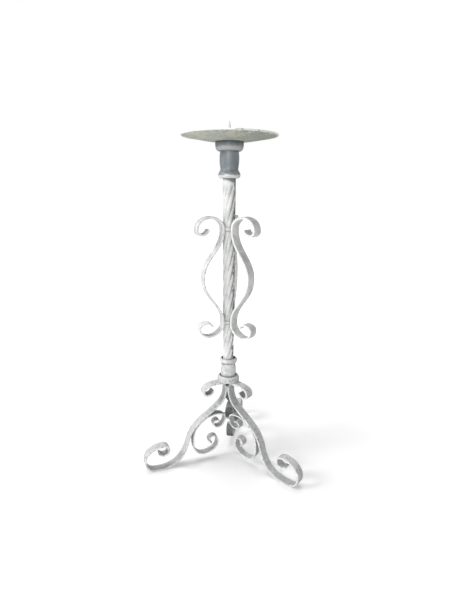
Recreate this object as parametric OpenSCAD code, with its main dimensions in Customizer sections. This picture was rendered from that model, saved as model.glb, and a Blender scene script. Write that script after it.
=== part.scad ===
// Torchere candle stand: three scrolled legs with C-scroll braces, a twisted
// column with three flat scrolls, and a drip pan with a pricket spike.
// The origin is where the column's axis meets the floor. +Z is up.

/* [Flat bar] */
// Width of the bar of the legs and column scrolls
bar_w = 28; // [22:0.5:32]
// Thickness of that bar
bar_t = 6; // [4:0.5:8]
// Width of the bar of the braces
brace_w = 23; // [18:0.5:27]
// Thickness of that bar
brace_t = 5; // [3:0.5:7]

/* [Legs] */
// Height of the leg curls, where the lower socket stands
leg_top = 278; // [250:1:320]
// Depth of the waist, where the legs are welded together, under the leg tops
waist_drop = 24; // [20:1:30]
// Axis to the outermost point of the upper curl, in the bar's middle
leg_curl_reach = 81; // [70:1:95]
// Depth of that point under the leg tops
leg_curl_drop = 27; // [22:1:34]
// Radius at which the upper curl starts to close
leg_curl_r = 8.5; // [7:0.5:12]
// Radius of the upper curl at its tip
leg_tip_r = 21; // [16:0.5:26]
// Turn of the upper curl's tip, in degrees
leg_tip_turn = 160; // [120:5:190]
// Axis to the shoulder of the leg
shoulder_reach = 40; // [34:1:48]
// Height of the shoulder
shoulder_z = 195.5; // [186:0.5:204]
// Slope of the shoulder, in degrees below level
shoulder_slope = 39; // [32:1:46]
// Axis to the shin of the leg
shin_reach = 139; // [130:1:147]
// Height of the shin
shin_z = 84.5; // [76:0.5:94]
// Slope of the shin, in degrees below level
shin_slope = 75; // [68:1:82]
// Axis to the middle of the foot's flat
foot_reach = 240; // [228:1:254]
// Length of the flat that stands on the floor
foot_flat = 16; // [10:1:24]
// Foot's flat middle to the outermost point of the foot curl
foot_curl_out = 38; // [32:1:46]
// Height of that outermost point
foot_curl_z = 38; // [32:1:46]
// Height of the foot curl, to the bar's middle
foot_curl_h = 88; // [80:0.5:98]
// Foot's flat middle back to the top of the foot curl
foot_curl_back = 22; // [14:1:30]
// Radius of the foot curl's tip
foot_tip_r = 17; // [13:0.5:20]
// Turn of the foot curl's tip, in degrees
foot_tip_turn = 240; // [200:5:270]

/* [Braces] */
// Axis to the middle of the bar where the braces are welded together
hub_reach = 14; // [12.5:0.5:18]
// Height of those welds
hub_z = 152; // [146:1:160]
// Axis to the bottom of the small scroll
small_reach = 38; // [34:1:42]
// Height of the bottom of the small scroll
small_z = 121; // [114:1:128]
// Axis to the outermost point of the small scroll
small_out = 52; // [48:0.5:58]
// Radius of the small scroll's tip
small_tip_r = 10; // [7:0.5:12]
// Turn of the small scroll's tip, in degrees
small_tip_turn = 140; // [100:5:170]
// Axis to the top of the arch
arch_reach = 38; // [34:1:42]
// Height of the arch
arch_z = 169; // [165:0.5:173]
// Place of the weld to the leg, from shoulder to shin
touch_part = 0.42; // [0.34:0.01:0.5]
// Axis to the outermost point of the brace
belly_reach = 121; // [117:1:125]
// Height of that point
belly_z = 78; // [70:1:86]
// Axis to the bottom of the brace
brace_low_reach = 88; // [80:1:96]
// Height of the bottom of the brace
brace_low_z = 29; // [24:1:36]
// Axis to the innermost point of the big curl
big_curl_in = 39; // [34:1:44]
// Height of that point
big_curl_z = 68; // [62:1:74]
// Axis to the top of the big curl
big_top_reach = 54; // [50:0.5:62]
// Height of the big curl
big_top_z = 89; // [83:1:95]
// Radius of the big curl's tip where it starts
big_tip_r = 15; // [11:0.5:18]
// Radius at its end
big_end_r = 11; // [8:0.5:14]
// Turn of the big curl's tip, in degrees
big_tip_turn = 165; // [120:5:190]

/* [Column] */
// Diameter over the crests of the twisted column
col_d = 32; // [28:0.5:36]
// Length of the column, with the ends in the sockets
col_len = 581; // [540:1:700]
// Number of twisted flutes
flutes = 8; // [5:1:10]
// Depth of the flutes
flute_deep = 1.6; // [0.8:0.1:2.4]
// Length of one full turn of the twist
twist_pitch = 330; // [240:5:480]
// Diameter of the plain ends
col_end_d = 31.5; // [27:0.5:32]
// Length of plain end that shows under the upper socket
neck_len = 9; // [4:1:16]

/* [Column scrolls] */
// Lower weld of the scrolls, above the lower socket
scroll_rise = 110; // [90:1:130]
// Height between the two welds of a scroll
scroll_span = 240; // [220:1:260]
// Axis to the widest point of the belly, in the bar's middle
scroll_belly = 73.5; // [64:0.5:84]
// Axis to the top of the upper curl
up_top_reach = 50.5; // [46:0.5:56]
// Height of the upper curl over its weld
up_top_rise = 27; // [22:0.5:32]
// Axis to the outermost point of the upper curl
up_out_reach = 87.5; // [80:0.5:96]
// Depth of that point under the weld
up_out_drop = 2; // [0:0.5:5]
// Radius at which the upper curl starts to close
up_curl_r = 7.5; // [6:0.5:10]
// Radius of the upper curl at its tip
up_tip_r = 24; // [18:0.5:28]
// Turn of the upper curl's tip, in degrees
up_tip_turn = 155; // [120:5:180]
// Axis to the bottom of the lower curl
low_bot_reach = 60; // [54:0.5:66]
// Depth of the lower curl under its weld
low_bot_drop = 37; // [32:0.5:42]
// Axis to the outermost point of the lower curl
low_out_reach = 87; // [80:0.5:94]
// Depth of that point under the weld
low_out_drop = 13; // [9:0.5:17]
// Axis to the top of the lower curl
low_top_reach = 65; // [60:0.5:70]
// Height of the lower curl's top over the weld
low_top_rise = 2; // [0:0.5:5]
// Radius of the lower curl's tip
low_tip_r = 16; // [12:0.5:20]
// Turn of the lower curl's tip, in degrees
low_tip_turn = 70; // [50:5:100]

/* [Sockets] */
// Diameter of a socket's cup
cup_d = 67; // [64:0.5:76]
// Height of the cup
cup_h = 20; // [16:0.5:24]
// Rounding of the cup's edge
cup_round = 8; // [5:0.5:10]
// Depth of the hollow between the cup's edge and the barrel
cup_hollow = 5; // [2:0.5:8]
// Diameter of the barrel at its ends
barrel_d = 42.5; // [41:0.5:46]
// Bulge of the barrel, on its radius
barrel_bulge = 2; // [0.5:0.25:3]
// Height of the barrel
barrel_h = 34; // [28:0.5:44]
// Diameter of the ring at the socket's mouth
ring_d = 54; // [50:0.5:60]
// Height of the ring
ring_h = 20; // [16:0.5:24]
// Diameter of the flared mouth
mouth_d = 40; // [36:0.5:43]
// Depth of the flare
flare_deep = 12; // [6:0.5:16]
// Metal between the cup's face and the floor of the bore
web = 14; // [12:0.5:16]
// Clearance round the column in the bore, on the radius
bore_gap = 0.4; // [0.3:0.1:1]

/* [Pan] */
// Diameter of the drip pan
pan_d = 226; // [200:1:250]
// Diameter of the pan's flat floor
pan_floor_d = 76; // [70:1:90]
// Height of the rim over the underside of the floor
pan_rise = 13; // [9:0.5:20]
// Thickness of the sheet
pan_t = 1.6; // [1:0.1:2.5]
// Radius of the rolled rim
rim_r = 1.8; // [1.4:0.1:2.6]

/* [Spike and fixings] */
// Diameter of the pricket spike
spike_d = 7; // [6:0.5:7.5]
// Height of the spike over the pan's floor
spike_h = 38; // [32:1:60]
// Length of the spike's point
point_len = 15; // [10:1:22]
// Diameter of the threaded shanks under the spike and over the core stud
shank_d = 8; // [8:0.5:9]
// Clearance of a shank in its holes, on the radius
shank_gap = 0.3; // [0.2:0.1:0.6]
// Diameter of the washer round the spike
washer_d = 24; // [20:1:30]
// Thickness of that washer
washer_t = 2; // [1.5:0.1:3]
// Width of the nuts across their flats
nut_af = 13; // [13:0.5:14]
// Height of the nuts
nut_h = 6; // [5:0.5:6.5]
// Clearance round and under a nut in its pocket
nut_gap = 0.5; // [0.3:0.1:1]
// Length of core stud under the waist
stud_tail = 18; // [12:1:24]

/* [Welds] */
// Radius of the beads that join the scrolls across the column
scroll_bead_r = 5.5; // [4:0.25:6.5]
// Radius of the beads between the legs
waist_bead_r = 3.5; // [2.5:0.25:4.5]
// Length of the beads between the legs
waist_bead_len = 22; // [16:1:28]
// Radius of the beads between the braces
hub_bead_r = 3; // [2:0.25:4]
// Radius of the small fillet beads
fillet_r = 2.4; // [1.8:0.1:3]
// Length of the beads that join a brace to its leg
touch_bead_len = 24; // [16:1:30]

/* [Hidden] */

// Directions of the three arms, and of the gaps between them
az_rear = 90;
az_left = 210;
az_right = 330;
arms = [az_rear, az_left, az_right];
gap_turn = 60;

// Fineness: points on each bend, facets of a round, and slices of the twist
bend_steps = 12;
round_fn = 96;
bead_fn = 24;
twist_slices = 100;
points_per_flute = 4;

// Share of the distance between two points that a bend's handles take
handle = 0.4;
// What a bead laps over the bars beside it before it is cut back to them
lap = 4;
// What a cutting shape reaches past the surface that it cuts
past = 1;

// Heights, from the floor up
waist_z = leg_top - waist_drop;
leg_line_top = leg_top - bar_t / 2;
socket_h = cup_h + barrel_h + ring_h;
grip = socket_h - web;
col_z = leg_top + web;
low_mouth_z = leg_top + socket_h;
pan_z = col_z + col_len + web;
up_mouth_z = pan_z - socket_h;
twist_z = low_mouth_z - 4;
twist_len = up_mouth_z - neck_len - twist_z;
scroll_low_z = low_mouth_z + scroll_rise;
scroll_up_z = scroll_low_z + scroll_span;
pan_floor_z = pan_z + pan_t;
washer_top_z = pan_floor_z + washer_t;

// Widths
col_r = col_d / 2;
bore_r = col_r + bore_gap;
apothem = bar_w / 2 * tan(30);
waist_reach = apothem + bar_t / 2;
weld_reach = col_r + bar_t / 2;
shank_hole_r = shank_d / 2 + shank_gap;
nut_corner_r = nut_af / 2 / cos(30);
pocket_r = nut_corner_r + nut_gap;
pocket_deep = nut_h + nut_gap;
// The leg tops are level from here out, so that the socket's cup rests on them
leg_seat_reach = cup_d / 2 - 4;

// A bend: a smooth curve from one [reach, height, heading] to the next
function bend(a, b) =
    let (k = handle * norm([b[0] - a[0], b[1] - a[1]]),
         p0 = [a[0], a[1]],
         p3 = [b[0], b[1]],
         p1 = p0 + k * [cos(a[2]), sin(a[2])],
         p2 = p3 - k * [cos(b[2]), sin(b[2])])
    [for (i = [1:bend_steps])
        let (t = i / bend_steps,
             s = 1 - t,
             p = s * s * s * p0 + 3 * s * s * t * p1 + 3 * s * t * t * p2 + t * t * t * p3,
             d = s * s * (p1 - p0) + 2 * s * t * (p2 - p1) + t * t * (p3 - p2))
        [p[0], p[1], atan2(d[1], d[0])]];

// A chain of bends through several points
function bends(way) =
    concat([way[0]], [for (i = [0:len(way) - 2]) each bend(way[i], way[i + 1])]);

// A curl from a point, turning left (1) or right (-1) while its radius changes evenly
function curl(a, side, r0, r1, turn) =
    let (k = ln(r0 / r1) / (turn * PI / 180),
         q0 = a[2] - side * (90 + atan(k)),
         c = [a[0], a[1]] - r0 * [cos(q0), sin(q0)])
    [for (i = [1:bend_steps])
        let (q = turn * i / bend_steps,
             r = r0 * exp(-k * q * PI / 180))
        [c[0] + r * cos(q0 + side * q), c[1] + r * sin(q0 + side * q), a[2] + side * q]];

function last(list) = list[len(list) - 1];
function curled(line, side, r0, r1, turn) = concat(line, curl(last(line), side, r0, r1, turn));
function flipped(line) = [for (i = [len(line) - 1:-1:1]) [line[i][0], line[i][1], line[i][2] + 180]];
function beside(p, d) = [p[0] - d * sin(p[2]), p[1] + d * cos(p[2])];
function bar_outline(line, t) =
    concat([for (p = line) beside(p, t / 2)],
           [for (i = [len(line) - 1:-1:0]) beside(line[i], -t / 2)]);

// Middle line of a leg, from the tip of its upper curl to the tip of its foot
leg_up = curled(bends([[waist_reach, waist_z, 90],
                       [leg_seat_reach, leg_line_top, 0],
                       [leg_curl_reach, leg_top - leg_curl_drop, -90]]),
                -1, leg_curl_r, leg_tip_r, leg_tip_turn);
shoulder = [shoulder_reach, shoulder_z, -shoulder_slope];
shin = [shin_reach, shin_z, -shin_slope];
leg_down = concat(bends([[waist_reach, waist_z, -90],
                         shoulder,
                         shin,
                         [foot_reach - foot_flat / 2, bar_t / 2, 0]]),
                  bends([[foot_reach + foot_flat / 2, bar_t / 2, 0],
                         [foot_reach + foot_curl_out, foot_curl_z, 90],
                         [foot_reach - foot_curl_back, foot_curl_h, 180]]));
leg_line = concat(flipped(leg_up), curled(leg_down, 1, foot_tip_r, foot_tip_r, foot_tip_turn));

// Middle line of a brace, from the tip of its small scroll to the tip of its big curl
touch = bend(shoulder, shin)[round(touch_part * bend_steps) - 1];
touch_face = beside(touch, -bar_t / 2);
touch_line = beside(touch, -(bar_t + brace_t) / 2);
brace_small = curled(bends([[hub_reach, hub_z, -90],
                            [small_reach, small_z, 0],
                            [small_out, hub_z - (hub_z - small_z) / 2, 90]]),
                     1, small_tip_r, small_tip_r, small_tip_turn);
brace_big = curled(bends([[hub_reach, hub_z, 90],
                          [arch_reach, arch_z, 0],
                          [touch_line[0], touch_line[1], touch[2]],
                          [belly_reach, belly_z, -90],
                          [brace_low_reach, brace_low_z, -180],
                          [big_curl_in, big_curl_z, -270],
                          [big_top_reach, big_top_z, -360]]),
                   -1, big_tip_r, big_end_r, big_tip_turn);
brace_line = concat(flipped(brace_small), brace_big);

// Middle line of a column scroll, from its upper tip to its lower tip
scroll_top = curled(bends([[weld_reach, scroll_up_z, 90],
                           [up_top_reach, scroll_up_z + up_top_rise, 0],
                           [up_out_reach, scroll_up_z - up_out_drop, -90]]),
                    -1, up_curl_r, up_tip_r, up_tip_turn);
scroll_bottom = curled(bends([[weld_reach, scroll_up_z, -90],
                              [scroll_belly, (scroll_up_z + scroll_low_z) / 2, -90],
                              [weld_reach, scroll_low_z, -90],
                              [low_bot_reach, scroll_low_z - low_bot_drop, 0],
                              [low_out_reach, scroll_low_z - low_out_drop, 90],
                              [low_top_reach, scroll_low_z + low_top_rise, 180]]),
                       1, low_tip_r, low_tip_r, low_tip_turn);
scroll_line = concat(flipped(scroll_top), scroll_bottom);

// Turned outline of a socket, from its cup's face at 0 up to its mouth
barrel_top = cup_h + barrel_h;
barrel_low = cup_h - cup_hollow;
barrel_rise = barrel_top - barrel_low;
groove_foot = 1;
cup_edge = 1;
mouth_lip = 1;
function arc(cx, cy, r, from, to, n) =
    [for (i = [0:n]) let (q = from + (to - from) * i / n) [cx + r * cos(q), cy + r * sin(q)]];
socket_outline = concat([[0, 0], [cup_d / 2 - cup_edge, 0], [cup_d / 2, cup_edge]],
                        arc(cup_d / 2 - cup_round, cup_h - cup_round, cup_round, 0, 90, 6),
                        [[barrel_d / 2 + groove_foot, cup_h - cup_hollow]],
                        [for (i = [0:8])
                            [barrel_d / 2 + barrel_bulge * sin(180 * i / 8), barrel_low + barrel_rise * i / 8]],
                        arc(ring_d / 2 - ring_h * 0.4, barrel_top + ring_h * 0.55, ring_h * 0.4, -50, 65, 8),
                        [[mouth_d / 2 + mouth_lip, socket_h], [0, socket_h]]);

// A flat bar bent along a line, standing on edge in the plane of one arm
module flat_bar(line, w, t, az)
    rotate([90, 0, az])
        translate([0, 0, -w / 2])
            linear_extrude(w)
                polygon(bar_outline(line, t));

// A weld bead round the axis, across the gap between two arms
module round_bead(reach, z, r, half_turn, az)
    translate([0, 0, z])
        rotate([0, 0, az - half_turn])
            rotate_extrude(angle = 2 * half_turn, $fn = round_fn)
                translate([reach, 0])
                    circle(r = r, $fn = bead_fn);

// A bead with pointed ends, along Z
module spindle(r, len)
    rotate_extrude($fn = bead_fn)
        polygon(concat([[0, -len / 2]],
                       [for (i = [-2:2]) [r * cos(i * 30), len / 2 * sin(i * 30)]],
                       [[0, len / 2]]));

module socket_solid() {
    difference() {
        rotate_extrude($fn = round_fn)
            polygon(socket_outline);
        translate([0, 0, -past])
            cylinder(r = shank_hole_r, h = web + 2 * past, $fn = round_fn);
        translate([0, 0, web - pocket_deep])
            cylinder(r = pocket_r, h = pocket_deep + past, $fn = round_fn);
        translate([0, 0, web])
            cylinder(r = bore_r, h = grip + past, $fn = round_fn);
        translate([0, 0, socket_h - flare_deep])
            cylinder(r1 = bore_r, r2 = mouth_d / 2, h = flare_deep, $fn = round_fn);
    }
}

module lower_socket_solid()
    translate([0, 0, leg_top])
        socket_solid();

module nut(z)
    translate([0, 0, z])
        difference() {
            cylinder(r = nut_corner_r, h = nut_h, $fn = 6);
            translate([0, 0, -past])
                cylinder(d = shank_d, h = nut_h + 2 * past, $fn = round_fn);
        }

module leg_bar(az)
    flat_bar(leg_line, bar_w, bar_t, az);

module brace_bar(az)
    flat_bar(brace_line, brace_w, brace_t, az);

module scroll_bar(az)
    flat_bar(scroll_line, bar_w, bar_t, az);

module leg(az)
    color("whitesmoke")
        leg_bar(az);

module brace(az)
    color("whitesmoke")
        brace_bar(az);

module scroll(az)
    color("whitesmoke")
        scroll_bar(az);

module pricket_spike()
    color("gainsboro") {
        tip_z = pan_floor_z + spike_h;
        translate([0, 0, washer_top_z])
            cylinder(d = spike_d, h = tip_z - point_len - washer_top_z, $fn = round_fn);
        translate([0, 0, tip_z - point_len])
            cylinder(d1 = spike_d, d2 = 1, h = point_len, $fn = round_fn);
        translate([0, 0, pan_z - web + nut_gap])
            cylinder(d = shank_d, h = washer_top_z - pan_z + web - nut_gap, $fn = round_fn);
    }

module spike_washer()
    color("darkkhaki")
        translate([0, 0, pan_floor_z])
            difference() {
                cylinder(d1 = washer_d, d2 = washer_d - washer_t, h = washer_t, $fn = round_fn);
                translate([0, 0, -past])
                    cylinder(d = shank_d, h = washer_t + 2 * past, $fn = round_fn);
            }

module drip_pan()
    color("darkkhaki")
        translate([0, 0, pan_z])
            difference() {
                rotate_extrude($fn = round_fn) {
                    floor_r = pan_floor_d / 2;
                    rim_reach = pan_d / 2 - rim_r;
                    span = rim_reach - floor_r;
                    dish = [for (i = [0:8]) [floor_r + span * i / 8, (pan_rise - rim_r) * pow(i / 8, 1.25)]];
                    polygon(concat([[0, 0]],
                                   dish,
                                   [for (i = [8:-1:0]) dish[i] + [0, pan_t]],
                                   [[0, pan_t]]));
                    translate([rim_reach, pan_rise - rim_r + pan_t / 2])
                        circle(r = rim_r, $fn = bead_fn);
                }
                translate([0, 0, -past])
                    cylinder(r = shank_hole_r, h = pan_t + 2 * past, $fn = round_fn);
            }

module spike_nut()
    color("dimgray")
        nut(pan_z - web + nut_gap);

module upper_socket()
    color("slategray")
        translate([0, 0, pan_z])
            mirror([0, 0, 1])
                socket_solid();

module twisted_column()
    color("whitesmoke") {
        points = flutes * points_per_flute;
        flute_r = [for (i = [0:points - 1]) col_r - flute_deep * (1 - abs(cos(180 * flutes * i / points)))];
        translate([0, 0, twist_z])
            linear_extrude(twist_len, twist = -360 * twist_len / twist_pitch, slices = twist_slices)
                polygon([for (i = [0:points - 1]) flute_r[i] * [cos(360 * i / points), sin(360 * i / points)]]);
        translate([0, 0, col_z])
            cylinder(d = col_end_d, h = twist_z - col_z, $fn = round_fn);
        translate([0, 0, twist_z + twist_len])
            cylinder(d = col_end_d, h = col_z + col_len - twist_z - twist_len, $fn = round_fn);
    }

module scroll_welds()
    color("white")
        difference() {
            half_turn = gap_turn - atan(bar_w / 2 / weld_reach) + lap;
            for (az = arms)
                for (z = [scroll_low_z, scroll_up_z])
                    round_bead(col_r, z, scroll_bead_r, half_turn, az + gap_turn);
            cylinder(r = col_r, h = pan_z, $fn = round_fn);
            for (az = arms)
                scroll_bar(az);
        }

module lower_socket()
    color("whitesmoke")
        lower_socket_solid();

module stud_nut()
    color("dimgray")
        nut(col_z - pocket_deep);

module core_stud()
    color("gray") {
        translate([0, 0, waist_z - stud_tail])
            cylinder(r = apothem, h = waist_drop + stud_tail, $fn = round_fn);
        translate([0, 0, leg_top])
            cylinder(d = shank_d, h = web - nut_gap, $fn = round_fn);
    }

module waist_welds()
    color("white")
        difference() {
            for (az = arms)
                rotate([0, 0, az + gap_turn])
                    translate([2 * apothem, 0, waist_z])
                        spindle(waist_bead_r, waist_bead_len);
            for (az = arms)
                leg_bar(az);
            cylinder(r = apothem, h = leg_top, $fn = round_fn);
        }

module socket_welds()
    color("white")
        difference() {
            half_turn = asin(bar_w / 2 / (cup_d / 2 + fillet_r)) - 1;
            for (az = arms)
                round_bead(cup_d / 2, leg_top, fillet_r, half_turn, az);
            lower_socket_solid();
            cylinder(r = cup_d / 2 - cup_edge, h = leg_top + cup_h, $fn = round_fn);
            for (az = arms)
                leg_bar(az);
        }

module hub_welds()
    color("white")
        difference() {
            half_turn = gap_turn - atan(brace_w / 2 / hub_reach) + lap;
            for (az = arms)
                round_bead(norm([hub_reach, brace_w / 2]), hub_z, hub_bead_r, half_turn, az + gap_turn);
            for (az = arms)
                brace_bar(az);
        }

module brace_welds()
    color("white")
        difference() {
            for (az = arms)
                rotate([90, 0, az])
                    for (side = [-1, 1])
                        translate([touch_face[0], touch_face[1], side * brace_w / 2])
                            rotate([0, 90, touch[2]])
                                spindle(fillet_r, touch_bead_len);
            for (az = arms) {
                leg_bar(az);
                brace_bar(az);
                // Nothing of a bead runs in between the two bars
                rotate([90, 0, az])
                    translate([touch_face[0], touch_face[1], 0])
                        cube([2 * touch_bead_len, 2 * touch_bead_len, brace_w], center = true);
            }
        }

pricket_spike();
spike_washer();
drip_pan();
spike_nut();
upper_socket();
twisted_column();
scroll(az_left);  // scroll_left
scroll(az_right);  // scroll_right
scroll(az_rear);  // scroll_rear
scroll_welds();
lower_socket();
stud_nut();
core_stud();
leg(az_left);  // leg_left
leg(az_right);  // leg_right
leg(az_rear);  // leg_rear
waist_welds();
socket_welds();
brace(az_left);  // brace_left
brace(az_right);  // brace_right
brace(az_rear);  // brace_rear
hub_welds();
brace_welds();
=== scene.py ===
"""Looks of the torchere candle stand: worn white wrought iron, a bare grey casting and an aged drip pan."""
import math
import bpy
from mathutils import Matrix, Vector


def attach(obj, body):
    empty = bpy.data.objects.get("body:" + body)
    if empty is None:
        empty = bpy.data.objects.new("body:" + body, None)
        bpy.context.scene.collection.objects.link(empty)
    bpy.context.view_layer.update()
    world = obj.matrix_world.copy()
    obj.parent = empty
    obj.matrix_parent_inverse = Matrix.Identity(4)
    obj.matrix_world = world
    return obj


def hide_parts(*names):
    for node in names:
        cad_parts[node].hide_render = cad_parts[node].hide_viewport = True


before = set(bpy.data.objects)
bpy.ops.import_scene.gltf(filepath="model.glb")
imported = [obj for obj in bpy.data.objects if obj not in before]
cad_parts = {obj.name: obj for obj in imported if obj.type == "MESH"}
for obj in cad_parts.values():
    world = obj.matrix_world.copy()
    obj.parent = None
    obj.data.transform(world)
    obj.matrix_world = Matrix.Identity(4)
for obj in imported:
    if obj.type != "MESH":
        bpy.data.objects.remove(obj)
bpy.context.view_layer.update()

MM = 0.001
BODY = "root"
ARMS = {"rear": 90, "left": 210, "right": 330}
GAP_TURN = 60

# -------------------------------------------------------- the solids' sizes, in millimetres and degrees
BAR_W, BAR_T = 28, 6
BRACE_W, BRACE_T = 23, 5
LEG_TOP, WAIST_DROP = 278, 24
LEG_CURL_REACH, LEG_CURL_DROP, LEG_CURL_R = 81, 27, 8.5
LEG_TIP_R, LEG_TIP_TURN = 21, 160
SHOULDER, SHIN = (40, 195.5, -39), (139, 84.5, -75)
FOOT_REACH, FOOT_FLAT = 240, 16
FOOT_CURL_OUT, FOOT_CURL_Z, FOOT_CURL_H, FOOT_CURL_BACK = 38, 38, 88, 22
FOOT_TIP_R, FOOT_TIP_TURN = 17, 240

HUB_REACH, HUB_Z = 14, 152
SMALL_REACH, SMALL_Z, SMALL_OUT = 38, 121, 52
SMALL_TIP_R, SMALL_TIP_TURN = 10, 140
ARCH_REACH, ARCH_Z = 38, 169
TOUCH_PART = 0.42
BELLY_REACH, BELLY_Z = 121, 78
BRACE_LOW_REACH, BRACE_LOW_Z = 88, 29
BIG_CURL_IN, BIG_CURL_Z = 39, 68
BIG_TOP_REACH, BIG_TOP_Z = 54, 89
BIG_TIP_R, BIG_END_R, BIG_TIP_TURN = 15, 11, 165

CUP_D, SOCKET_H, WEB = 67, 74, 14
COL_D, COL_LEN, COL_END_D, NECK_LEN = 32, 581, 31.5, 9
FLUTES, FLUTE_DEEP, TWIST_PITCH = 8, 1.6, 330

SCROLL_RISE, SCROLL_SPAN, SCROLL_BELLY = 110, 240, 73.5
UP_TOP_REACH, UP_TOP_RISE = 50.5, 27
UP_OUT_REACH, UP_OUT_DROP = 87.5, 2
UP_CURL_R, UP_TIP_R, UP_TIP_TURN = 7.5, 24, 155
LOW_BOT_REACH, LOW_BOT_DROP = 60, 37
LOW_OUT_REACH, LOW_OUT_DROP = 87, 13
LOW_TOP_REACH, LOW_TOP_RISE = 65, 2
LOW_TIP_R, LOW_TIP_TURN = 16, 70

PAN_D, PAN_FLOOR_D, PAN_RISE, PAN_T, RIM_R = 226, 76, 13, 1.6, 1.8
SPIKE_D, SPIKE_H, POINT_LEN = 7, 38, 15
SHANK_D, WASHER_D, WASHER_T = 8, 24, 2

APOTHEM = BAR_W / 2 * math.tan(math.radians(30))
WAIST_Z = LEG_TOP - WAIST_DROP
WAIST_REACH = APOTHEM + BAR_T / 2
WELD_REACH = COL_D / 2 + BAR_T / 2
LEG_SEAT_REACH = CUP_D / 2 - 4
LOW_MOUTH_Z = LEG_TOP + SOCKET_H
COL_Z = LEG_TOP + WEB
PAN_Z = COL_Z + COL_LEN + WEB
UP_MOUTH_Z = PAN_Z - SOCKET_H
SCROLL_LOW_Z = LOW_MOUTH_Z + SCROLL_RISE
SCROLL_UP_Z = SCROLL_LOW_Z + SCROLL_SPAN
PAN_FLOOR_Z = PAN_Z + PAN_T
WASHER_TOP_Z = PAN_FLOOR_Z + WASHER_T

# -------------------------------------------------------- the bars' middle lines: (reach, height, heading)
STEPS, SOLID_STEPS = 24, 12
HANDLE = 0.4


def towards(heading):
    """One step in a heading."""
    a = math.radians(heading)
    return Vector((math.cos(a), math.sin(a)))


def bend(a, b):
    """A smooth curve from one (reach, height, heading) to the next."""
    p0, p3 = Vector(a[:2]), Vector(b[:2])
    k = HANDLE * (p3 - p0).length
    p1 = p0 + k * towards(a[2])
    p2 = p3 - k * towards(b[2])
    out = []
    for i in range(1, STEPS + 1):
        t = i / STEPS
        s = 1 - t
        p = s**3 * p0 + 3 * s * s * t * p1 + 3 * s * t * t * p2 + t**3 * p3
        d = s * s * (p1 - p0) + 2 * s * t * (p2 - p1) + t * t * (p3 - p2)
        out.append((p.x, p.y, math.degrees(math.atan2(d.y, d.x))))
    return out


def bends(*way):
    """A chain of bends through several points."""
    line = [way[0]]
    for a, b in zip(way, way[1:]):
        line += bend(a, b)
    return line


def curled(line, side, r0, r1, turn):
    """The line with a curl at its end that turns left (1) or right (-1) as its radius goes from r0 to r1."""
    x, z, heading = line[-1]
    k = math.log(r0 / r1) / math.radians(turn)
    q0 = heading - side * (90 + math.degrees(math.atan(k)))
    centre = Vector((x, z)) - r0 * towards(q0)
    out = list(line)
    for i in range(1, STEPS + 1):
        q = turn * i / STEPS
        r = r0 * math.exp(-k * math.radians(q))
        a = math.radians(q0 + side * q)
        out.append((centre.x + r * math.cos(a), centre.y + r * math.sin(a), heading + side * q))
    return out


def flipped(line):
    """The line from its other end, without the point that the next stretch starts with."""
    return [(x, z, heading + 180) for x, z, heading in line[:0:-1]]


def beside(point, offset):
    """The point moved to its line's left."""
    a = math.radians(point[2])
    return (point[0] - offset * math.sin(a), point[1] + offset * math.cos(a), point[2])


def leg_line():
    """A leg from the tip of its upper curl to the tip of its foot."""
    up = bends((WAIST_REACH, WAIST_Z, 90), (LEG_SEAT_REACH, LEG_TOP - BAR_T / 2, 0),
               (LEG_CURL_REACH, LEG_TOP - LEG_CURL_DROP, -90))
    down = bends((WAIST_REACH, WAIST_Z, -90), SHOULDER, SHIN, (FOOT_REACH - FOOT_FLAT / 2, BAR_T / 2, 0))
    down += bends((FOOT_REACH + FOOT_FLAT / 2, BAR_T / 2, 0), (FOOT_REACH + FOOT_CURL_OUT, FOOT_CURL_Z, 90),
                  (FOOT_REACH - FOOT_CURL_BACK, FOOT_CURL_H, 180))
    return (flipped(curled(up, -1, LEG_CURL_R, LEG_TIP_R, LEG_TIP_TURN))
            + curled(down, 1, FOOT_TIP_R, FOOT_TIP_R, FOOT_TIP_TURN))


# The point of the leg's line that its brace is welded under
TOUCH = bend(SHOULDER, SHIN)[round(TOUCH_PART * SOLID_STEPS) * STEPS // SOLID_STEPS - 1]


def brace_line():
    """A brace from the tip of its small scroll to the tip of its big curl."""
    touch = beside(TOUCH, -(BAR_T + BRACE_T) / 2)
    small = bends((HUB_REACH, HUB_Z, -90), (SMALL_REACH, SMALL_Z, 0), (SMALL_OUT, (HUB_Z + SMALL_Z) / 2, 90))
    big = bends((HUB_REACH, HUB_Z, 90), (ARCH_REACH, ARCH_Z, 0), touch, (BELLY_REACH, BELLY_Z, -90),
                (BRACE_LOW_REACH, BRACE_LOW_Z, -180), (BIG_CURL_IN, BIG_CURL_Z, -270),
                (BIG_TOP_REACH, BIG_TOP_Z, -360))
    return (flipped(curled(small, 1, SMALL_TIP_R, SMALL_TIP_R, SMALL_TIP_TURN))
            + curled(big, -1, BIG_TIP_R, BIG_END_R, BIG_TIP_TURN))


def scroll_line():
    """A column scroll from its upper tip to its lower tip."""
    up, low = SCROLL_UP_Z, SCROLL_LOW_Z
    top = bends((WELD_REACH, up, 90), (UP_TOP_REACH, up + UP_TOP_RISE, 0),
                (UP_OUT_REACH, up - UP_OUT_DROP, -90))
    bottom = bends((WELD_REACH, up, -90), (SCROLL_BELLY, (up + low) / 2, -90), (WELD_REACH, low, -90),
                   (LOW_BOT_REACH, low - LOW_BOT_DROP, 0), (LOW_OUT_REACH, low - LOW_OUT_DROP, 90),
                   (LOW_TOP_REACH, low + LOW_TOP_RISE, 180))
    return (flipped(curled(top, -1, UP_CURL_R, UP_TIP_R, UP_TIP_TURN))
            + curled(bottom, 1, LOW_TIP_R, LOW_TIP_R, LOW_TIP_TURN))


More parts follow.
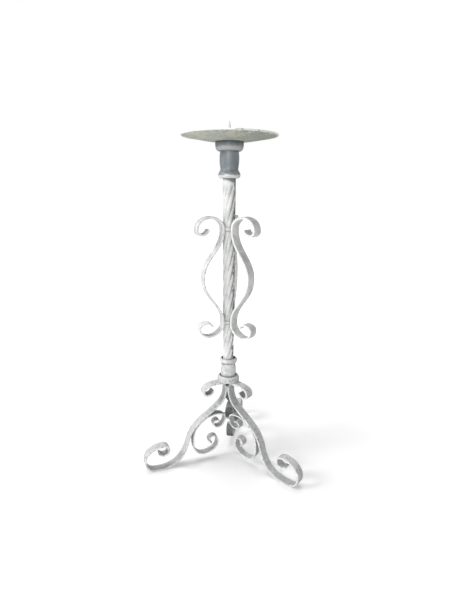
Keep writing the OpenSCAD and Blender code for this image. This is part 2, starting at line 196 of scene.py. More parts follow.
# -------------------------------------------------------- node trees
def add(tree, kind, links=None, **settings):
    """Adds a node with its settings; links maps an input to a value or to another node's output."""
    node = tree.nodes.new(kind)
    for name, value in settings.items():
        setattr(node, name, value)
    for key, value in (links or {}).items():
        if isinstance(value, bpy.types.NodeSocket):
            tree.links.new(value, node.inputs[key])
        else:
            node.inputs[key].default_value = value
    return node


def calc(tree, operation, a, b=0.0, c=0.0):
    """The result of one sum in a node tree."""
    node = add(tree, "ShaderNodeMath", operation=operation)
    for socket, value in zip(node.inputs, (a, b, c)):
        if isinstance(value, bpy.types.NodeSocket):
            tree.links.new(value, socket)
        else:
            socket.default_value = value
    return node.outputs[0]


def between(tree, value, low, high):
    """0 below low, 1 above high and a smooth step between."""
    step = add(tree, "ShaderNodeMapRange", {0: value, 1: low, 2: high}, interpolation_type="SMOOTHSTEP")
    return step.outputs[0]


def new_shape(name, *sizes):
    """A Geometry Nodes tree with an input for each size and for the material; returns it and its inputs."""
    tree = bpy.data.node_groups.new(name, "GeometryNodeTree")
    tree.interface.new_socket("Geometry", in_out="INPUT", socket_type="NodeSocketGeometry")
    for size in sizes:
        tree.interface.new_socket(size, in_out="INPUT", socket_type="NodeSocketFloat")
    tree.interface.new_socket("Material", in_out="INPUT", socket_type="NodeSocketMaterial")
    tree.interface.new_socket("Geometry", in_out="OUTPUT", socket_type="NodeSocketGeometry")
    return tree, tree.nodes.new("NodeGroupInput").outputs


def close_shape(tree, geometry, material):
    """Ends a tree: real meshes, smooth, in their material."""
    smooth = add(tree, "GeometryNodeSetShadeSmooth", {"Geometry": geometry})
    real = add(tree, "GeometryNodeRealizeInstances", {"Geometry": smooth.outputs[0]})
    coated = add(tree, "GeometryNodeSetMaterial", {"Geometry": real.outputs[0], "Material": material})
    end = tree.nodes.new("NodeGroupOutput")
    tree.links.new(coated.outputs[0], end.inputs[0])


def dented(tree, geometry, depth, spacing):
    """Moves the surface in and out by up to depth, with lumps about spacing apart, in metres."""
    scale = calc(tree, "DIVIDE", 1.0, spacing)
    place = add(tree, "GeometryNodeInputPosition")
    lumps = add(tree, "ShaderNodeTexNoise", {"Vector": place.outputs[0], "Scale": scale, "Detail": 2.0})
    swing = calc(tree, "SUBTRACT", lumps.outputs[0], 0.5)
    height = calc(tree, "MULTIPLY", swing, calc(tree, "MULTIPLY", depth, 2.0))
    normal = add(tree, "GeometryNodeInputNormal")
    push = add(tree, "ShaderNodeVectorMath", {0: normal.outputs[0], "Scale": height}, operation="SCALE")
    moved = add(tree, "GeometryNodeSetPosition", {"Geometry": geometry, "Offset": push.outputs[0]})
    return moved.outputs[0]


# Steps along bars and beads, and the sides round them
BAR_STEP, BAR_SIDES = 1.8, 40
BEAD_STEP, BEAD_SIDES = 0.6, 20
# The mean radius of a rippled bead and the ripples' swing, as shares of its full radius
BEAD_MEAN, BEAD_SWING = 0.95, 0.07
# Reach within which the column's points stay on the axis
AXIS_ROOM = 1.0


def bent_bar_shape():
    """A flat bar with worn edges that follows a line in the XZ plane, then turns to its arm."""
    tree, given = new_shape("bent_bar", "Width", "Thickness", "Squareness", "Dent", "Spacing", "Turn")
    path = add(tree, "GeometryNodeMeshToCurve", {"Mesh": given["Geometry"]})
    even = add(tree, "GeometryNodeResampleCurve", {"Curve": path.outputs[0], "Length": BAR_STEP * MM},
               mode="LENGTH")
    flat = add(tree, "GeometryNodeSetCurveNormal", {"Curve": even.outputs[0], "Normal": (0, 1, 0)},
               mode="FREE")

    # The section: a circle drawn out towards a square, then to the bar's width and thickness
    ring = add(tree, "GeometryNodeCurvePrimitiveCircle", {"Resolution": BAR_SIDES, "Radius": 1.0},
               mode="RADIUS")
    place = add(tree, "ShaderNodeSeparateXYZ", {0: add(tree, "GeometryNodeInputPosition").outputs[0]})
    power = calc(tree, "DIVIDE", 2.0, given["Squareness"])
    sides = []
    for value in place.outputs[:2]:
        grown = calc(tree, "POWER", calc(tree, "ABSOLUTE", value), power)
        sides.append(calc(tree, "MULTIPLY", grown, calc(tree, "SIGN", value)))
    across = add(tree, "GeometryNodeStoreNamedAttribute",
                 {"Geometry": ring.outputs[0], "Name": "across", "Value": sides[0]}, data_type="FLOAT")
    half = [calc(tree, "MULTIPLY", given[key], 0.5) for key in ("Width", "Thickness")]
    shape = add(tree, "ShaderNodeCombineXYZ",
                {0: calc(tree, "MULTIPLY", sides[0], half[0]), 1: calc(tree, "MULTIPLY", sides[1], half[1])})
    section = add(tree, "GeometryNodeSetPosition",
                  {"Geometry": across.outputs[0], "Position": shape.outputs[0]})

    swept = add(tree, "GeometryNodeCurveToMesh",
                {"Curve": flat.outputs[0], "Profile Curve": section.outputs[0], "Fill Caps": True})
    turn = add(tree, "ShaderNodeCombineXYZ", {2: given["Turn"]})
    placed = add(tree, "GeometryNodeTransform", {"Geometry": swept.outputs[0], "Rotation": turn.outputs[0]})
    close_shape(tree, dented(tree, placed.outputs[0], given["Dent"], given["Spacing"]), given["Material"])
    return tree


def weld_bead_shape():
    """Rippled beads of weld metal with tapered ends, along each line of the mesh."""
    tree, given = new_shape("weld_bead", "Radius", "Ripple", "Dent", "Spacing")
    path = add(tree, "GeometryNodeMeshToCurve", {"Mesh": given["Geometry"]})
    even = add(tree, "GeometryNodeResampleCurve", {"Curve": path.outputs[0], "Length": BEAD_STEP * MM},
               mode="LENGTH")
    place = add(tree, "GeometryNodeSplineParameter")
    turns = calc(tree, "DIVIDE", calc(tree, "MULTIPLY", place.outputs["Length"], math.tau), given["Ripple"])
    swell = calc(tree, "MULTIPLY_ADD", calc(tree, "SINE", turns), BEAD_SWING, BEAD_MEAN)
    from_middle = calc(tree, "SUBTRACT", calc(tree, "MULTIPLY", place.outputs["Factor"], 2.0), 1.0)
    from_middle = calc(tree, "ABSOLUTE", from_middle)
    # A little over 1, so that the very ends keep a radius
    taper = calc(tree, "POWER", calc(tree, "SUBTRACT", 1.0001, calc(tree, "POWER", from_middle, 4.0)), 0.5)
    size = calc(tree, "MULTIPLY", swell, calc(tree, "MULTIPLY", taper, given["Radius"]))
    ring = add(tree, "GeometryNodeCurvePrimitiveCircle", {"Resolution": BEAD_SIDES, "Radius": 1.0},
               mode="RADIUS")
    swept = add(tree, "GeometryNodeCurveToMesh", {
        "Curve": even.outputs[0], "Profile Curve": ring.outputs[0], "Scale": size, "Fill Caps": True})
    close_shape(tree, dented(tree, swept.outputs[0], given["Dent"], given["Spacing"]), given["Material"])
    return tree


def twisted_bar_shape():
    """A grid tube made into the twisted column: its flutes fade out at the plain ends."""
    tree, given = new_shape("twisted_bar", "Radius", "Depth", "Flutes", "Pitch", "Low", "High", "Fade", "End",
                            "Dent", "Spacing")
    place = add(tree, "ShaderNodeSeparateXYZ", {0: add(tree, "GeometryNodeInputPosition").outputs[0]})
    x, y, z = place.outputs
    angle = calc(tree, "ARCTAN2", y, x)
    lobes = calc(tree, "MULTIPLY", angle, calc(tree, "MULTIPLY", given["Flutes"], 0.5))
    hollow = calc(tree, "SUBTRACT", 1.0, calc(tree, "ABSOLUTE", calc(tree, "COSINE", lobes)))

    over_low = between(tree, calc(tree, "SUBTRACT", z, given["Low"]), 0.0, given["Fade"])
    under_high = between(tree, calc(tree, "SUBTRACT", given["High"], z), 0.0, given["Fade"])
    inside = calc(tree, "MULTIPLY", over_low, under_high)
    fluted = calc(tree, "SUBTRACT", given["Radius"], calc(tree, "MULTIPLY", hollow, given["Depth"]))
    radius = calc(tree, "MULTIPLY_ADD", calc(tree, "SUBTRACT", fluted, given["End"]), inside, given["End"])
    flat = calc(tree, "SQRT", calc(tree, "ADD", calc(tree, "MULTIPLY", x, x), calc(tree, "MULTIPLY", y, y)))
    reach = calc(tree, "MULTIPLY", radius, calc(tree, "GREATER_THAN", flat, AXIS_ROOM * MM))
    twist = calc(tree, "DIVIDE", calc(tree, "MULTIPLY", z, math.tau), given["Pitch"])
    turned_by = calc(tree, "ADD", angle, twist)
    twisted = add(tree, "ShaderNodeCombineXYZ", {
        0: calc(tree, "MULTIPLY", calc(tree, "COSINE", turned_by), reach),
        1: calc(tree, "MULTIPLY", calc(tree, "SINE", turned_by), reach), 2: z})
    depth = calc(tree, "MULTIPLY", hollow, inside)
    groove = add(tree, "GeometryNodeStoreNamedAttribute",
                 {"Geometry": given["Geometry"], "Name": "groove", "Value": depth}, data_type="FLOAT")
    moved = add(tree, "GeometryNodeSetPosition",
                {"Geometry": groove.outputs[0], "Position": twisted.outputs[0]})
    close_shape(tree, dented(tree, moved.outputs[0], given["Dent"], given["Spacing"]), given["Material"])
    return tree


# -------------------------------------------------------- meshes
def as_object(name, points, edges=(), faces=()):
    """A new object in the scene; the points are in millimetres."""
    mesh = bpy.data.meshes.new(name)
    mesh.from_pydata([Vector(p) * MM for p in points], edges, faces)
    mesh.update()
    item = bpy.data.objects.new(name, mesh)
    bpy.context.scene.collection.objects.link(item)
    return item


def as_lines(name, lines):
    """One object that holds several open lines."""
    points, edges = [], []
    for line in lines:
        start = len(points)
        points += line
        edges += [(i, i + 1) for i in range(start, len(points) - 1)]
    return as_object(name, points, edges)


def plain_mesh(item):
    """The object with its modifiers made real: the same name, at the origin, with none left."""
    graph = bpy.context.evaluated_depsgraph_get()
    mesh = bpy.data.meshes.new_from_object(item.evaluated_get(graph), depsgraph=graph)
    item.modifiers.clear()
    old = item.data
    item.data = mesh
    bpy.data.meshes.remove(old)
    mesh.name = item.name
    return item


def shaped(item, tree, **inputs):
    """The object run through a Geometry Nodes tree, as a plain mesh."""
    modifier = item.modifiers.new(tree.name, "NODES")
    modifier.node_group = tree
    for socket in tree.interface.items_tree:
        if socket.item_type == "SOCKET" and socket.in_out == "INPUT" and socket.name in inputs:
            modifier[socket.identifier] = inputs[socket.name]
    return plain_mesh(item)


def rounded(corners, segments=5):
    """The outline through (reach, height, rounding) corners, with each corner rounded."""
    out = []
    for i, (x, z, r) in enumerate(corners):
        here = Vector((x, z))
        if r == 0 or i in (0, len(corners) - 1):
            out.append(here)
            continue
        a = Vector(corners[i - 1][:2]) - here
        b = Vector(corners[i + 1][:2]) - here
        r = min(r, 0.49 * a.length, 0.49 * b.length)
        a, b = here + a.normalized() * r, here + b.normalized() * r
        for k in range(segments + 1):
            t = k / segments
            out.append((1 - t) ** 2 * a + 2 * t * (1 - t) * here + t * t * b)
    return out


def circle(radius, count):
    """Points round a circle, as (x, y)."""
    turns = [math.tau * k / count for k in range(count)]
    return [(radius * math.cos(a), radius * math.sin(a)) for a in turns]


# Reach under which a point of an outline lies on the axis, and the angle from which an edge is shaded sharp
ON_AXIS, SHARP_FROM = 0.01, 50


def turned(name, outline, material, sides=144):
    """A solid of revolution whose outline runs from axis to axis, or round a ring that closes on itself."""
    points, faces, rings = [], [], []
    for p in outline:
        if p[0] < ON_AXIS:
            rings.append([len(points)] * sides)
            points.append((0, 0, p[1]))
        else:
            rings.append(list(range(len(points), len(points) + sides)))
            points += [(x, y, p[1]) for x, y in circle(p[0], sides)]
    closed = rings[0][0] != rings[0][1]
    pairs = list(zip(rings, rings[1:])) + ([(rings[-1], rings[0])] if closed else [])
    for low, high in pairs:
        for k in range(sides):
            n = (k + 1) % sides
            face = list(dict.fromkeys([low[k], low[n], high[n], high[k]]))
            if len(face) > 2:
                faces.append(face)
    item = as_object(name, points, faces=faces)
    item.data.materials.append(material)
    item.data.shade_smooth()
    item.data.set_sharp_from_angle(angle=math.radians(SHARP_FROM))
    item.modifiers.new("even_shading", "WEIGHTED_NORMAL").keep_sharp = True
    return plain_mesh(item)


def arc(reach, z, middle, half_turn, count=24):
    """Points of a level arc round the axis."""
    out = []
    for i in range(count + 1):
        a = math.radians(middle - half_turn + 2 * half_turn * i / count)
        out.append((reach * math.cos(a), reach * math.sin(a), z))
    return out


# -------------------------------------------------------- finishes
def colour(hex_code):
    """An sRGB hex value as linear RGBA."""
    parts = [int(hex_code[i:i + 2], 16) / 255 for i in (1, 3, 5)]
    return tuple(c / 12.92 if c <= 0.04045 else ((c + 0.055) / 1.055) ** 2.4 for c in parts) + (1.0,)


def per(size_mm):
    """The scale of a texture whose features are about this many millimetres apart."""
    return 1000 / size_mm


def finish(name, roughness, metallic=0.0, specular=0.5):
    """A new material; returns it, its tree and its main shader."""
    material = bpy.data.materials.new(name)
    material.use_nodes = True
    tree = material.node_tree
    shader = tree.nodes["Principled BSDF"]
    shader.inputs["Roughness"].default_value = roughness
    shader.inputs["Metallic"].default_value = metallic
    shader.inputs["Specular IOR Level"].default_value = specular
    return material, tree, shader


def noise(tree, size_mm, detail=5, rough=0.65, warp=0.0):
    """A cloudy pattern with features about size_mm apart, on the object's own coordinates."""
    place = add(tree, "ShaderNodeTexCoord")
    cloud = add(tree, "ShaderNodeTexNoise", {
        "Vector": place.outputs["Object"], "Scale": per(size_mm), "Detail": float(detail),
        "Roughness": rough, "Distortion": warp})
    return cloud.outputs[0]


def patches(tree, size_mm, low, high, detail=5, rough=0.65, warp=0.0):
    """Soft-edged patches about size_mm apart: 0 where the cloud is under low, 1 where it is over high."""
    return between(tree, noise(tree, size_mm, detail, rough, warp), low, high)


def mixed(tree, share, a, b):
    """Colour a turned to colour b by share."""
    node = add(tree, "ShaderNodeMix", {"Factor": share}, data_type="RGBA")
    for key, value in (("A", a), ("B", b)):
        socket = next(s for s in node.inputs if s.name == key and s.type == "RGBA")
        if isinstance(value, bpy.types.NodeSocket):
            tree.links.new(value, socket)
        else:
            socket.default_value = colour(value)
    return next(s for s in node.outputs if s.type == "RGBA")


def layered(tree, tone, tint, share, strength):
    """The tone with a tint over it where share is high, up to strength."""
    return mixed(tree, calc(tree, "MULTIPLY", share, strength), tone, tint)


def bumped(tree, shader, height, depth_mm):
    """Relief on the shader, where a height of 1 stands depth_mm proud."""
    bump = add(tree, "ShaderNodeBump", {"Height": height, "Distance": depth_mm * MM, "Strength": 1.0})
    tree.links.new(bump.outputs[0], shader.inputs["Normal"])


def spot(tree):
    """The x, y and z of the surface in the object's own coordinates, in metres."""
    place = add(tree, "ShaderNodeTexCoord")
    return add(tree, "ShaderNodeSeparateXYZ", {0: place.outputs["Object"]}).outputs


def occluded(tree, reach_mm, low, high):
    """How deep the surface lies in a hollow or beside another part, 0 to 1."""
    hollow = add(tree, "ShaderNodeAmbientOcclusion", {"Distance": reach_mm * MM}, samples=8)
    return between(tree, calc(tree, "SUBTRACT", 1.0, hollow.outputs["AO"]), low, high)


# Heights under which dust and grime begin on the white paint, and at which they are full
DUST_TOP, DUST_FULL = 330, 150
GRIME_TOP, GRIME_FULL = 440, 280
# Reach from the axis up to which the painted shade is full, and at which it ends
CROWDED, OPEN = 165, 200


def chalky_white_paint(name="chalky_white_paint", painted_shade=0.36, reach_mm=80, grime=1.3, inner_face_shade=0.0):
    """Old white oil paint over forged iron: chalked dull, greyed with dust and grime towards the floor, pale
    along the edges as rubbed paint and as a painted highlight, with painted shade on the undersides, on faces
    turned to the axis and in the hollows, and chipped to iron."""
    material, tree, shader = finish(name, 0.6, specular=0.35)
    x, y, z = spot(tree)
    drop = calc(tree, "MULTIPLY", z, -1.0)
    tone = mixed(tree, patches(tree, 30, 0.40, 0.66, detail=6, rough=0.66, warp=0.5), "#EFF0EF", "#D2D4D3")

    # Dust and brushed grime, thicker towards the floor
    cloudy_drop = calc(tree, "MULTIPLY_ADD", noise(tree, 40, detail=4, rough=0.6), 0.10, drop)
    tone = layered(tree, tone, "#B9BBBB", between(tree, cloudy_drop, -DUST_TOP * MM, -DUST_FULL * MM), 0.5)
    wear = between(tree, drop, -GRIME_TOP * MM, -GRIME_FULL * MM)
    wear = calc(tree, "MULTIPLY_ADD", wear, 0.6 * grime, 0.4 * grime)
    brushed = patches(tree, 11, 0.50, 0.62, detail=6, rough=0.78)
    tone = layered(tree, tone, "#9DA0A0", brushed, calc(tree, "MULTIPLY", wear, 0.46))

    # Edges pale as rubbed paint and as a painted highlight, specks, grimy flutes and chips down to the iron
    side = calc(tree, "ABSOLUTE", add(tree, "ShaderNodeAttribute", attribute_name="across").outputs["Fac"])
    # The narrow edges are paler: partly rubbed paint, partly a painted highlight
    rubbed_and_lit = between(tree, side, 0.84, 0.96)
    tone = layered(tree, tone, "#F6F6F4", rubbed_and_lit, patches(tree, 10, 0.38, 0.54, rough=0.7))
    specks = patches(tree, 5.5, 0.55, 0.63, detail=6, rough=0.82)
    tone = layered(tree, tone, "#75787A", specks, calc(tree, "MULTIPLY", wear, 0.6))
    flute = add(tree, "ShaderNodeAttribute", attribute_name="groove").outputs["Fac"]
    dark_flutes = between(tree, calc(tree, "MULTIPLY_ADD", noise(tree, 26, rough=0.7), 0.9, flute), 1.08, 1.45)
    tone = layered(tree, tone, "#858888", dark_flutes, 0.5)
    at_edge = between(tree, side, 0.90, 0.99)
    chips = calc(tree, "MULTIPLY_ADD", at_edge, 0.07, noise(tree, 4.2, detail=6, rough=0.72))
    chips = between(tree, chips, 0.68, 0.72)
    tone = mixed(tree, chips, tone, "#55534F")

    # Painted shade on the undersides, on faces turned to the axis and in the hollows, strongest near the axis
    normal = add(tree, "ShaderNodeTexCoord").outputs["Normal"]
    faces_down = calc(tree, "MULTIPLY", add(tree, "ShaderNodeSeparateXYZ", {0: normal}).outputs[2], -1.0)
    # Faces turned down are darkened as painted shade, given the look of thin paint
    underside_shade = patches(tree, 22, 0.25, 0.55, rough=0.7)
    underside_shade = calc(tree, "MULTIPLY", between(tree, faces_down, 0.1, 0.65), underside_shade)
    outward = add(tree, "ShaderNodeCombineXYZ", {0: x, 1: y}).outputs[0]
    reach = add(tree, "ShaderNodeVectorMath", {0: outward}, operation="LENGTH").outputs["Value"]
    near = between(tree, calc(tree, "MULTIPLY", reach, -1.0), -OPEN * MM, -CROWDED * MM)
    shade_strength = calc(tree, "MULTIPLY_ADD", near, 0.8 * painted_shade, 0.2 * painted_shade)
    tone = layered(tree, tone, "#5B5C5A", underside_shade, calc(tree, "MULTIPLY", shade_strength, 1.4))
    # Faces turned to the axis close to it are darkened as painted shade
    if inner_face_shade:
        facing = add(tree, "ShaderNodeVectorMath", {0: outward, 1: normal}, operation="DOT_PRODUCT")
        facing = calc(tree, "DIVIDE", facing.outputs["Value"], calc(tree, "MULTIPLY", reach, -1.0))
        inner_shade = calc(tree, "MULTIPLY", between(tree, facing, 0.2, 0.6), near)
        tone = layered(tree, tone, "#4A4C4B", inner_shade, inner_face_shade)
    # Painted shade in the hollows and beside other parts
    tone = layered(tree, tone, "#3A3B3A", occluded(tree, reach_mm, 0.12, 0.40), shade_strength)
    tree.links.new(tone, shader.inputs["Base Color"])

    brushing = calc(tree, "MULTIPLY", noise(tree, 1.6, detail=4, rough=0.7), 0.25)
    height = calc(tree, "MULTIPLY_ADD", noise(tree, 7, rough=0.6), 0.8, brushing)
    bumped(tree, shader, calc(tree, "SUBTRACT", height, calc(tree, "MULTIPLY", chips, 0.12)), 1.3)
    return material


# The side of the column darkened by worn paint and by painted shade, as an angle from +X
WORN_SHADED_SIDE = math.radians(-5)


def weathered_shaded_white_paint():
    """The column's white paint: the same as on the bars but fresher, with dark flutes on one side, where it
    is also worn off the iron in dark runs, both partly painted shade, and a painted shadow under the upper
    casting's mouth."""
    material = chalky_white_paint("weathered_shaded_white_paint", painted_shade=0.3, reach_mm=24, grime=0.3)
    tree = material.node_tree
    shader = tree.nodes["Principled BSDF"]
    tone = shader.inputs["Base Color"].links[0].from_socket
    x, y, z = spot(tree)
    turned_to = calc(tree, "MULTIPLY_ADD", x, math.cos(WORN_SHADED_SIDE), calc(tree, "MULTIPLY", y, math.sin(WORN_SHADED_SIDE)))
    facing = calc(tree, "DIVIDE", turned_to, COL_D / 2 * MM)

    tone = layered(tree, tone, "#F8F9F7", patches(tree, 24, 0.34, 0.60, rough=0.66), 0.6)
    # Darker flutes on the worn side: grime and painted shade
    flute = add(tree, "ShaderNodeAttribute", attribute_name="groove").outputs["Fac"]
    dark_flutes = between(tree, calc(tree, "MULTIPLY_ADD", noise(tree, 13, rough=0.7), 0.8, flute), 0.80, 1.10)
    dark_flutes = calc(tree, "MULTIPLY", dark_flutes, between(tree, facing, 0.0, 0.85))
    tone = layered(tree, tone, "#696C6B", dark_flutes, 0.75)

    # Dark runs on the same side: paint worn off the iron, and painted shade
    cloud = noise(tree, 15, detail=6, rough=0.7, warp=0.6)
    worn_and_shaded = between(tree, calc(tree, "MULTIPLY_ADD", cloud, 1.3, facing), 1.52, 1.64)
    # A painted shadow of the upper casting's mouth on the column's top
    up = calc(tree, "MULTIPLY_ADD", noise(tree, 9, detail=4), 14 * MM, z)
    up = calc(tree, "MULTIPLY_ADD", facing, 5 * MM, up)
    shadow_under_mouth = between(tree, up, (UP_MOUTH_Z + 1) * MM, (UP_MOUTH_Z + 4) * MM)
    bare_and_shadowed = calc(tree, "MAXIMUM", calc(tree, "MULTIPLY", worn_and_shaded, 0.88), calc(tree, "MULTIPLY", shadow_under_mouth, 0.7))
    tree.links.new(mixed(tree, bare_and_shadowed, tone, "#595B59"), shader.inputs["Base Color"])
    return material


# Height at which the upper casting's cup bends in to its barrel
CUP_BEND_Z = PAN_Z - 14.5


def bare_cast_iron():
    """Grey cast iron with its foundry skin rubbed to a blue-grey satin, painted shade in its hollows and
    under the pan, white paint run on to its lip and a painted reflection on the cup's bend: soft broad
    highlights over a fine sand grain."""
    material, tree, shader = finish("bare_cast_iron", 0.46, metallic=0.3)
    z = spot(tree)[2]
    tone = mixed(tree, patches(tree, 22, 0.35, 0.7, rough=0.6), "#7C8488", "#92979A")
    tone = layered(tree, tone, "#8C8374", patches(tree, 12, 0.56, 0.68, warp=0.5), 0.3)
    tone = layered(tree, tone, "#5A5F61", patches(tree, 2.6, 0.60, 0.70, rough=0.7), 0.45)
    # Painted shade in the hollows and beside the pan and column
    tone = layered(tree, tone, "#3E4142", occluded(tree, 22, 0.40, 0.9), 0.8)

    # A painted shadow of the pan on the cup's top
    up = calc(tree, "MULTIPLY_ADD", noise(tree, 9, detail=4, rough=0.6), 8 * MM, z)
    tone = layered(tree, tone, "#454846", between(tree, up, (PAN_Z - 5) * MM, (PAN_Z + 3) * MM), 0.75)
    under_mouth = calc(tree, "SUBTRACT", UP_MOUTH_Z * MM, z)
    low = calc(tree, "MULTIPLY_ADD", noise(tree, 14, detail=4, rough=0.6), 7 * MM, under_mouth)
    tone = layered(tree, tone, "#E4E6E5", between(tree, low, -4.5 * MM, -3.0 * MM), 0.9)
    # A paler band on the cup's lower bend: a painted reflection of the floor
    off_bend = calc(tree, "ABSOLUTE", calc(tree, "SUBTRACT", z, CUP_BEND_Z * MM))
    at_bend = calc(tree, "MULTIPLY_ADD", noise(tree, 10), 9 * MM, calc(tree, "MULTIPLY", off_bend, -1.0))
    tone = layered(tree, tone, "#CDCFCD", between(tree, at_bend, -1.5 * MM, 2 * MM), 0.6)
    tree.links.new(tone, shader.inputs["Base Color"])
    bumped(tree, shader, noise(tree, 1.8, detail=4), 0.18)
    return material


def aged_zinc_sheet():
    """Zinc-coated sheet gone dull olive and sandy, with greyed bare areas and pale flakes of old paint near
    the rim."""
    material, tree, shader = finish("aged_zinc_sheet", 0.6, metallic=0.15)
    x, y = spot(tree)[:2]
    tone = mixed(tree, patches(tree, 60, 0.40, 0.60, rough=0.62, warp=0.8), "#C6C6B1", "#B0B8B2")
    tone = layered(tree, tone, "#D2C7C2", patches(tree, 44, 0.50, 0.62, warp=1.2), 0.75)
    dark_side = between(tree, calc(tree, "MULTIPLY_ADD", noise(tree, 40), 90 * MM, x), 55 * MM, 115 * MM)
    tone = layered(tree, tone, "#8F9589", dark_side, 0.8)
    tone = layered(tree, tone, "#787B72", patches(tree, 11, 0.53, 0.60, detail=6, rough=0.8), 0.5)
    tone = layered(tree, tone, "#E2DBD6", patches(tree, 10, 0.55, 0.62, detail=6, rough=0.8, warp=0.4), 0.45)

    reach = calc(tree, "SQRT", calc(tree, "MULTIPLY_ADD", x, x, calc(tree, "MULTIPLY", y, y)))
    outer = between(tree, reach, 60 * MM, 112 * MM)
    flake = calc(tree, "MULTIPLY_ADD", outer, 0.11, noise(tree, 9, detail=7, rough=0.75, warp=0.5))
    flake = between(tree, flake, 0.66, 0.69)
    tone = layered(tree, tone, "#F0F0EA", flake, 0.9)
    # Painted shade where the sheet lies close to the cup and the washer
    tone = layered(tree, tone, "#4D4F48", occluded(tree, 20, 0.45, 0.95), 0.75)
    tree.links.new(tone, shader.inputs["Base Color"])
    height = calc(tree, "MULTIPLY_ADD", flake, 0.5, calc(tree, "MULTIPLY", noise(tree, 9, rough=0.6), 0.6))
    bumped(tree, shader, height, 0.5)
    return material


def highlit_rim():
    """The pan's rolled edge, painted pale and bright as a highlight, with darker dull stretches."""
    material, tree, shader = finish("highlit_rim", 0.42, metallic=0.1)
    tone = layered(tree, "#F1F2EF", "#8F9288", patches(tree, 14, 0.54, 0.66, rough=0.66), 0.8)
    tree.links.new(tone, shader.inputs["Base Color"])
    bumped(tree, shader, noise(tree, 3, detail=3, rough=0.6), 0.1)
    return material


def dull_steel():
    """Oiled machine steel, dark and slightly brown."""
    material, tree, shader = finish("dull_steel", 0.45, metallic=0.9)
    tone = mixed(tree, noise(tree, 4, detail=4, rough=0.6), "#5B5753", "#3F3B38")
    tree.links.new(tone, shader.inputs["Base Color"])
    bumped(tree, shader, noise(tree, 1.5, detail=3, rough=0.6), 0.05)
    return material


# -------------------------------------------------------- the pieces
# Copies of the white paint with more or less painted shade: most on the legs, the rear brace, the lower
# casting and the spike, least on the scrolls
WHITE = chalky_white_paint(inner_face_shade=0.75)
WELD_WHITE = chalky_white_paint("white_paint_on_weld", painted_shade=0.2, reach_mm=24, grime=0.5)
SCROLL_WHITE = chalky_white_paint("white_paint_on_scrolls", painted_shade=0.06, reach_mm=48, grime=0.8)
BRACE_WHITE = chalky_white_paint("white_paint_on_braces", painted_shade=0.15, reach_mm=48, grime=1.2)
WORN_SHADED_WHITE = weathered_shaded_white_paint()
GREY = bare_cast_iron()
ZINC = aged_zinc_sheet()
RIM = highlit_rim()
STEEL = dull_steel()


def stands_for(item, slot, *nodes):
    """The piece rides on the stand and hides its CAD nodes; the finish slot is not used."""
    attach(item, BODY)
    if nodes:
        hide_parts(*nodes)


BAR = bent_bar_shape()
BEAD = weld_bead_shape()
TWIST = twisted_bar_shape()
# How square a bar's section is, how deep the hammered dents are and how far apart, in millimetres
SQUARENESS, BAR_DENT, BAR_DENT_EVERY = 9.0, 0.22, 17
# The same for the beads and the column, and how far apart a bead's ripples are
RIPPLE_EVERY, BEAD_DENT, BEAD_DENT_EVERY = 3.4, 0.35, 5
COLUMN_DENT, COLUMN_DENT_EVERY = 0.2, 11


def bars(kind, line, width, thickness, paint, rear_shaded_paint):
    """One bar of this kind on each arm."""
    for arm, azimuth in ARMS.items():
        path = as_lines(f"{kind}_bar_{arm}", [[(point[0], 0, point[1]) for point in line]])
        bar = shaped(path, BAR, Width=width * MM, Thickness=thickness * MM, Squareness=SQUARENESS,
                     Dent=BAR_DENT * MM, Spacing=BAR_DENT_EVERY * MM, Turn=math.radians(azimuth),
                     Material=rear_shaded_paint if arm == "rear" else paint)
        stands_for(bar, "white_paint", f"{kind}_{arm}")


def beads(name, lines, radius):
    """Weld beads of this radius along the lines, as one piece."""
    bead = shaped(as_lines(name, lines), BEAD, Radius=radius * MM, Ripple=RIPPLE_EVERY * MM,
                  Dent=BEAD_DENT * MM, Spacing=BEAD_DENT_EVERY * MM, Material=WELD_WHITE)
    stands_for(bead, "white_paint", name.replace("_beads", "_welds"))


bars("leg", leg_line(), BAR_W, BAR_T, WHITE, WHITE)
# The rear brace takes the copy of the paint with more painted shade
bars("brace", brace_line(), BRACE_W, BRACE_T, BRACE_WHITE, WHITE)
bars("scroll", scroll_line(), BAR_W, BAR_T, SCROLL_WHITE, SCROLL_WHITE)

# Radii of the beads, a little under the solids' own, so that ripples and dents stay within them
SCROLL_BEAD_R, HUB_BEAD_R, SEAT_BEAD_R, WAIST_BEAD_R, TOUCH_BEAD_R = 5.4, 2.9, 2.3, 3.3, 2.2
# How far the scroll beads' middle lines stand off the column, and the rounding of the socket's bead
SCROLL_BEAD_OUT, SEAT_FILLET_R = 0.4, 2.4
WAIST_BEAD_LEN, TOUCH_BEAD_LEN = 22, 24
WAIST_BEAD_STEPS = 20


def half_gap(half_width, reach):
    """Half the turn between two neighbouring bars that stand at this reach, run 2 degrees into each."""
    return GAP_TURN - math.degrees(math.atan(half_width / reach)) + 2


gaps = [azimuth + GAP_TURN for azimuth in ARMS.values()]
scroll_half = half_gap(BAR_W / 2, WELD_REACH)
scroll_arcs = [arc(COL_D / 2 + SCROLL_BEAD_OUT, z, gap, scroll_half)
               for gap in gaps for z in (SCROLL_LOW_Z, SCROLL_UP_Z)]
beads("scroll_beads", scroll_arcs, SCROLL_BEAD_R)
hub_half = half_gap(BRACE_W / 2, HUB_REACH)
hub_corner = math.hypot(HUB_REACH, BRACE_W / 2)
beads("hub_beads", [arc(hub_corner, HUB_Z, gap, hub_half) for gap in gaps], HUB_BEAD_R)
# The beads between the legs and the socket stop a degree short of the legs' sides
seat_half = math.degrees(math.asin(BAR_W / 2 / (CUP_D / 2 + SEAT_FILLET_R))) - 1
beads("socket_beads", [arc(CUP_D / 2, LEG_TOP, azimuth, seat_half) for azimuth in ARMS.values()], SEAT_BEAD_R)

